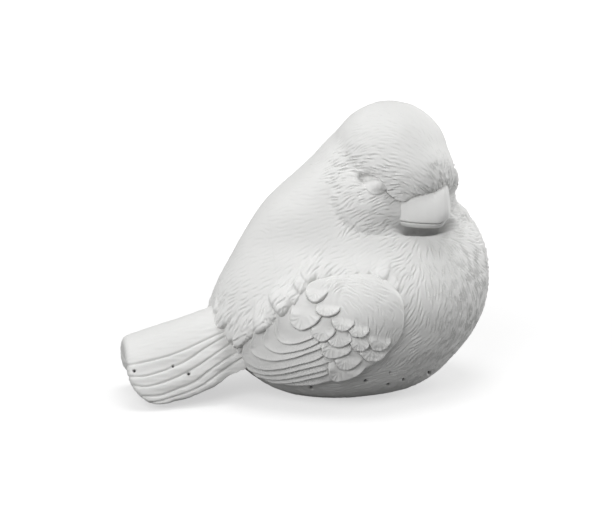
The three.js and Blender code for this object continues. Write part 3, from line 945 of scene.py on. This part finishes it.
def wing_height(seen, points, facing):
    """Height over the skin in millimetres at places in the picture."""
    outside, _ = from_line(seen, wing_outline)
    across = (seen[:, 0] - dome_centre[0]) / 36
    down = (seen[:, 1] - dome_centre[1]) / 42
    dome = np.clip(1 - across**2 - down**2, 0, 1)
    low_tip = ease(seen[:, 1], 330, 378) * (1 - ease(seen[:, 0], 255, 310))
    pad = tip_pad + root_pad * ease(seen[:, 0], 255, 335) + dome_pad * dome + low_edge_pad * low_tip
    over_flights = 1 - ease(seen[:, 0], 320, 336)
    height = pad - 0.2 - 0.5 * over_flights
    unrest = drift(points, 1.6 * mm, 77)
    for number, edge in reversed(list(enumerate(flight_edges))):
        gap, share = from_line(seen, edge)
        slant = share * 300 + gap * 0.9
        hatch = ease(gap, 0.8, 2.2) * (1 - ease(gap, 4, 6.5))
        barbs = 0.09 * np.sin(2 * math.pi * slant / 6 + 1.6 * unrest) * hatch
        base = pad - 0.1 * number - 0.5 + barbs
        lift = 0.35 + flight_lift * np.exp(-np.maximum(gap, 0) / 3.4)
        height = height + (shingle(height, gap, base, lift) - height) * over_flights
    for arc, long in covert_arcs:
        lower = through(np.array(arc) / 8 + close_up_corner)
        root = root_way * long / 8
        outline = np.array([*lower, lower[-1] + root, lower[0] + root, lower[0]])
        gap, _ = from_line(seen, outline)
        from_arc, share = from_line(seen, lower)
        from_arc = np.abs(from_arc)
        foot = lower.mean(0)
        back = (seen - foot) @ root_way
        barbed = ease(from_arc, 0.6, 2) * (1 - ease(from_arc, 7, 12))
        barbs = 0.1 * np.sin(share * 46 + 1.5 * unrest) * barbed
        base = pad + 0.1 + barbs
        lift = 0.2 + covert_lift * np.exp(-from_arc / 6)
        ends = max(min((lower[0] - foot) @ root_way, (lower[-1] - foot) @ root_way), 5)
        shown = 1 - ease(back, 0.5 * ends, 1.6 * ends + 2)
        height = height + (shingle(height, gap, base, lift, 1.8) - height) * shown
    on_dome = ease(dome, 0.05, 0.3)
    on_dome = on_dome + (1 - on_dome) * ease(seen[:, 0], 318, 335) * (1 - ease(seen[:, 1], 290, 300))
    height = height + on_dome * stroke_relief(points, facing) + 0.06 * unrest
    upper = 1 - ease(seen[:, 1], 285, 305)
    round_over = 2 + ease(seen[:, 0], 310, 335) * (1.5 + 9 * upper)
    edge = np.clip(outside / round_over, 0, 1)
    height = height * np.sqrt(1 - (1 - edge) ** 2)
    return np.where(outside > 0, height, -1.6 * ease(-outside, 0, 1.6))


# %% Throw a grid onto the flank and raise it
def pinched(corner):
    """True where the rim touches itself or an edge has lost all its faces."""
    edges = corner.link_edges
    return sum(edge.is_boundary for edge in edges) > 2 or any(edge.is_wire for edge in edges)


def wing_form(step):
    left, top = wing_outline.min(0) - 4
    right, bottom = wing_outline.max(0) + 4
    columns = int((right - left) / step)
    rows = int((bottom - top) / step)
    form = bmesh.new()
    bmesh.ops.create_grid(form, x_segments=columns, y_segments=rows, size=1)
    flat = (places(form)[:, :2] + 1) / 2
    seen = flat * (right - left, bottom - top) + (left, top)
    rim, _ = from_line(seen, wing_outline)
    missed = []
    for corner, way, gap in zip(form.verts, sight_lines(seen), rim):
        hit = skin.ray_cast(camera_place, Vector(way))[0] if gap > -3 else None
        corner.co = hit if hit else camera_place
        if not hit:
            missed.append(corner)
    while missed:
        bmesh.ops.delete(form, geom=missed, context="VERTS")
        missed = [corner for corner in form.verts if pinched(corner)]
    smooth(form, 3)
    points = places(form)
    facing = outward(form)
    if (facing @ picture_back).mean() < 0:
        bmesh.ops.reverse_faces(form, faces=form.faces)
        facing = outward(form)
    height = wing_height(in_picture(points), points, facing)
    move_to(form, points + facing * (height * mm)[:, None])
    rim_edges = [edge for edge in form.edges if edge.is_boundary]
    skirt = bmesh.ops.extrude_edge_only(form, edges=rim_edges)["geom"]
    foot = [part for part in skirt if isinstance(part, bmesh.types.BMVert)]
    bmesh.ops.pointmerge(form, verts=foot, merge_co=wing_foot)
    return form


# %% Both wings
wing_step = 0.5
right_form = wing_form(wing_step)
left_form = right_form.copy()
for corner in left_form.verts:
    corner.co.y = -corner.co.y
for form, node in ((right_form, "right_wing"), (left_form, "left_wing")):
    wing = finish_piece(form, "feathered_" + node)
    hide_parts(node)

# %% [markdown]
# ## Tail, beak and eyes
#
# These are smooth forms whose shape is already in the CAD solids. A fine remesh and a little
# smoothing takes the facets off and rounds the edges as a worn mould does, and the tail gets the
# faint combing of its barbs.

# %% The tail
tail_lines = [through(line) for line in (
    ((118, 366), (129, 365), (145, 362), (165, 357),
     (182, 351), (198, 343.5), (215, 335.5), (230, 328)),
    ((124, 377), (132, 376.5), (145, 376), (160, 372), (173, 367),
     (188, 360), (205, 348.5), (222, 338), (236, 329)),
    ((129, 386), (137, 386), (148, 386.5), (165, 382),
     (185, 373.5), (202, 363.5), (218, 352), (232, 342)),
    ((139, 396.5), (147, 396.5), (162, 395), (178, 389),
     (195, 382), (208, 372), (222, 362), (238, 352)),
    ((147, 403), (155, 402.5), (170, 398.5), (185, 393.5),
     (202, 386), (218, 374.5), (232, 366), (245, 358)),
)]
tail_end = -90.4 * mm
barb_stretch = np.array((0.14, 1, 1))
soft_tail = fused([merged_copy("tail", 0.4 * mm)], 0.9 * mm, 12)
tail_form = fused([soft_tail], 0.4 * mm, 3)
tail_points = places(tail_form)
drawn_in = tail_points[:, 0].min() - tail_end
tail_points[:, 0] -= drawn_in * ease(-tail_points[:, 0], 45 * mm, 85 * mm)
seen = in_picture(on_right_of_body(tail_points))
lines_depth = np.zeros(len(tail_points))
for line in tail_lines:
    above, share = from_line(seen, line)
    step = 0.3 * np.exp(np.minimum(above, 0) / 4) * ease(-above, -0.5, 0.8)
    lines_depth += (0.5 * np.exp(-(above**2)) + step) * ease(share, 0.01, 0.12)
combing = drift(tail_points * barb_stretch, 0.9 * mm, 83) * 0.1 + drift(tail_points, 7 * mm, 85) * 0.12
on_side = ease(-on_right_of_body(tail_points)[:, 1], 1 * mm, 5 * mm)
root_hollow = 1.8 * ease(seen[:, 0], 212, 236)
lift = (combing - lines_depth * on_side - root_hollow - pit_depth(tail_points)) * mm
# Painted shade in the tail's pits, kept on the corners for the material.
lay_painted_shade(tail_form, 0.8 * pit_depth(tail_points))
move_to(tail_form, tail_points + outward(tail_form) * lift[:, None])
tail = finish_piece(tail_form, "combed_tail")
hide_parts("tail")

# %% The beak's two halves
pixel = 0.4 * mm
root_span = (394, 412)
mouth_gap = 0.55 * mm
mouth_tuck = 0.3 * mm


def shaped_beak(form, tuck, lower):
    """Draws the beak's far side in, rounds its ends and lets its root sink into the face."""
    seen = in_picture(places(form))
    sunk = 0.55 * (1 - ease(seen[:, 0], *root_span))
    for corner, share in zip(form.verts, sunk.tolist()):
        near, normal, _, _ = skin.find_nearest(corner.co)
        corner.co -= normal * share * max((corner.co - near).dot(normal), 0)
    points = places(form)
    inward = 0.42 * np.maximum(seen[:, 0] - 444, 0) * pixel
    upward = 0.6 * np.maximum(seen[:, 0] - 434, 0) * ease(-seen[:, 1], -206, -194) * pixel
    downward = 0.3 * np.maximum(seen[:, 1] - 205, 0) * (1 - 0.9 * ease(seen[:, 0], 438, 450)) * pixel
    points = points + (upward - downward)[:, None] * picture_up - inward[:, None] * picture_right
    move_to(form, points - head_forward * tuck - picture_up * lower)


for node, name, tuck, lower in (
    ("beak_upper", "smooth_upper_beak", 0, 0),
    ("beak_lower", "smooth_lower_beak", mouth_tuck, mouth_gap),
):
    beak_form = fused([merged_copy(node, 0.1 * mm)], 0.4 * mm, 5)
    shaped_beak(beak_form, tuck, lower)
    half = finish_piece(beak_form, name)
    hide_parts(node)

# %% The closed eyes
rim_height = 0.4 * mm
for node, name in (("right_eye", "closed_right_eye"), ("left_eye", "closed_left_eye")):
    eye_form = fused([merged_copy(node, 0.1 * mm)], 0.3 * mm, 5)
    for corner in eye_form.verts:
        near, normal, _, _ = skin.find_nearest(corner.co)
        height = (corner.co - near).dot(normal)
        if height > 0:
            flat = 0.75 * min(height, rim_height) + 0.08 * max(height - rim_height, 0)
            corner.co = near + normal * flat
    eye_points = places(eye_form)
    outwards = np.array(head_turned)[:, 1] * (1 if node == "left_eye" else -1)
    seen = in_picture(on_right_of_head(eye_points))
    lean = 0.07 * np.clip(seen[:, 1] - 192, -16, 0)
    shift = (far_cheek(eye_points) - eye_hollow * eye_share(seen) + lean) * mm
    move_to(eye_form, eye_points + outwards * shift[:, None])
    eye = finish_piece(eye_form, name)
    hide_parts(node)

# %% [markdown]
# ## Concrete
#
# Cast concrete is one pale grey with faint clouds, a sandy tooth and a few small pores. The pores are
# painted a little darker, and the deepest pits and the hollow under the beak much darker, as painted
# shade. All the pieces share this surface, so it is a node group; each material sets its own strengths.

# %% Helpers for shader nodes
def connect(tree, node, inputs):
    """Sets the inputs of a node to values, or links them to what other nodes put out."""
    for name, value in inputs.items():
        if isinstance(value, bpy.types.NodeSocket):
            tree.links.new(value, node.inputs[name])
        else:
            node.inputs[name].default_value = value
    return node.outputs


def add_node(tree, kind, inputs, **settings):
    node = tree.nodes.new(kind)
    for name, value in settings.items():
        setattr(node, name, value)
    return connect(tree, node, inputs)


def mixed(tree, share, first, second):
    inputs = {"Factor": share, "A": first, "B": second}
    return add_node(tree, "ShaderNodeMix", inputs, data_type="RGBA")["Result"]


# %% A node group for the casting's surface
dull_concrete = (0.70, 0.70, 0.69, 1)
pale_concrete = (0.82, 0.82, 0.81, 1)
# The colour of the painted shade in the pits and under the beak.
painted_shade_color = (0.1, 0.1, 0.1, 1)


def surface_group():
    group = bpy.data.node_groups.new("cast_concrete", "ShaderNodeTree")
    face = group.interface
    face.new_socket("Place", in_out="INPUT", socket_type="NodeSocketVector")
    # The fourth input says how far the colour is darkened as painted shade.
    for name in ("Cloud", "Grain", "Pores", "Painted Shade"):
        face.new_socket(name, in_out="INPUT", socket_type="NodeSocketFloat")
    face.new_socket("Color", in_out="OUTPUT", socket_type="NodeSocketColor")
    face.new_socket("Roughness", in_out="OUTPUT", socket_type="NodeSocketFloat")
    face.new_socket("Height", in_out="OUTPUT", socket_type="NodeSocketFloat")
    inside = add_node(group, "NodeGroupInput", {})

    def noise(scale, detail):
        inputs = {"Vector": inside["Place"], "Scale": scale, "Detail": detail}
        return add_node(group, "ShaderNodeTexNoise", inputs)["Fac"]

    def maths(operation, first, second):
        return add_node(group, "ShaderNodeMath", {0: first, 1: second}, operation=operation)[0]

    cloud = maths("MULTIPLY", maths("SUBTRACT", noise(55, 4), 0.5), inside["Cloud"])
    grain = maths("MULTIPLY", maths("SUBTRACT", noise(2600, 3), 0.5), inside["Grain"])
    cells = add_node(group, "ShaderNodeTexVoronoi", {"Vector": inside["Place"], "Scale": 210})
    edges = {"From Min": 0.05, "From Max": 0.16, "To Min": 1, "To Max": 0}
    pore = add_node(group, "ShaderNodeMapRange", {"Value": cells["Distance"], **edges})
    sparse = maths("GREATER_THAN", noise(90, 1), 0.6)
    pores = maths("MULTIPLY", maths("MULTIPLY", pore["Result"], sparse), inside["Pores"])
    tone = maths("ADD", cloud, maths("MULTIPLY", grain, 0.25))
    # Painted shade: the pores are painted darker as well as getting a dip in the height.
    tone = maths("SUBTRACT", tone, maths("MULTIPLY", pores, 0.35))
    clean = mixed(group, maths("ADD", tone, 0.5), dull_concrete, pale_concrete)
    # The colour is mixed towards the painted shade colour by the painted shade amount.
    add_node(group, "NodeGroupOutput", {
        "Color": mixed(group, inside["Painted Shade"], clean, painted_shade_color),
        "Roughness": maths("ADD", maths("MULTIPLY", grain, 0.15), 0.9),
        "Height": maths("SUBTRACT", grain, maths("MULTIPLY", pores, 2)),
    })
    return group


concrete_surface = surface_group()


# %% One concrete for each part
def concrete(name, cloud, grain, pores):
    material = bpy.data.materials.new(name)
    material.use_nodes = True
    tree = material.node_tree
    surface = add_node(tree, "ShaderNodeGroup", {
        "Place": add_node(tree, "ShaderNodeTexCoord", {})["Object"],
        # The painted shade amount kept on the mesh's corners.
        "Painted Shade": add_node(tree, "ShaderNodeAttribute", {}, attribute_name="painted_shade")["Fac"],
        "Cloud": cloud,
        "Grain": grain,
        "Pores": pores,
    }, node_tree=concrete_surface)
    rough = {"Height": surface["Height"], "Strength": 0.35, "Distance": 0.15 * mm}
    connect(tree, tree.nodes["Principled BSDF"], {
        "Base Color": surface["Color"],
        "Roughness": surface["Roughness"],
        "Specular IOR Level": 0.25,
        "Normal": add_node(tree, "ShaderNodeBump", rough)["Normal"],
    })
    return material


feather_concrete = concrete("feather_concrete", 0.5, 0.6, 0.6)
smooth_concrete = concrete("smooth_concrete", 0.35, 0.35, 0.3)
for piece in pieces:
    plain = "beak" in piece.name or "eye" in piece.name
    piece.data.materials.clear()
    piece.data.materials.append(smooth_concrete if plain else feather_concrete)

# %% [markdown]
# ## Floor, light and surroundings
#
# The photograph is lit softly from above, so that the belly and the underside of each feather go
# dark. Wide lamps overhead and at the front left do that, two low ones light the outline, and a weak
# world fills. The ground is white in the photograph: the world and the floor show white to the
# camera only, and the floor keeps a shadow.

# %% The floor
def camera_share(tree):
    """1 where the camera, a reflection or a view through glass sees it, 0 for light that bounces."""
    path = add_node(tree, "ShaderNodeLightPath", {})
    total = path["Is Camera Ray"]
    for name in ("Is Glossy Ray", "Is Transmission Ray"):
        total = add_node(tree, "ShaderNodeMath", {0: total, 1: path[name]}, operation="MAXIMUM")[0]
    return total


def grey(level):
    return (level, level, level, 1)


floor_form = bmesh.new()
bmesh.ops.create_grid(floor_form, x_segments=2, y_segments=2, size=3)
floor = new_object(floor_form, "floor")
floor_material = bpy.data.materials.new("pale_floor")
floor_material.use_nodes = True
floor_tree = floor_material.node_tree
seen_by_camera = camera_share(floor_tree)
floor_place = add_node(floor_tree, "ShaderNodeTexCoord", {})["Object"]
from_bird = add_node(floor_tree, "ShaderNodeVectorMath", {0: floor_place}, operation="LENGTH")["Value"]
glow = add_node(floor_tree, "ShaderNodeMapRange", {
    "Value": from_bird, "From Min": 0.12, "From Max": 0.6, "To Min": 0.56, "To Max": 1,
}, interpolation_type="SMOOTHSTEP")["Result"]
strength = add_node(floor_tree, "ShaderNodeMath", {0: glow, 1: seen_by_camera}, operation="MULTIPLY")[0]
connect(floor_tree, floor_tree.nodes["Principled BSDF"], {
    "Base Color": mixed(floor_tree, seen_by_camera, grey(0.15), grey(0.5)),
    "Roughness": 1,
    "Specular IOR Level": 0,
    "Emission Color": grey(1),
    "Emission Strength": strength,
})
floor.data.materials.append(floor_material)

# %% The world
world = bpy.data.worlds.new("studio")
world.use_nodes = True
bpy.context.scene.world = world
sky = world.node_tree
shade = mixed(sky, camera_share(sky), grey(0.42), grey(1))
connect(sky, sky.nodes["Background"], {"Color": shade})


# %% The lamps
lit_place = Vector((0, 0, 0.05))


def lamp(name, place, width, power):
    light = bpy.data.lights.new(name, "AREA")
    light.shape = "DISK"
    light.size = width
    light.energy = power
    holder = bpy.data.objects.new(name, light)
    holder.location = place
    way = lit_place - holder.location
    holder.rotation_euler = way.to_track_quat("-Z", "Y").to_euler()
    bpy.context.scene.collection.objects.link(holder)


lamp("overhead", Vector((0, -0.1, 1.0)), 0.5, 2.9)
lamp("front_left", Vector((-0.37, -0.64, 0.52)), 0.45, 2.4)
lamp("right", Vector((0.88, 0.12, 0.14)), 0.5, 4.8)
lamp("left", Vector((-0.8, -0.4, 0.3)), 0.5, 1.6)

# %% Finish: the view transform
bpy.context.scene.view_settings.view_transform = "Standard"
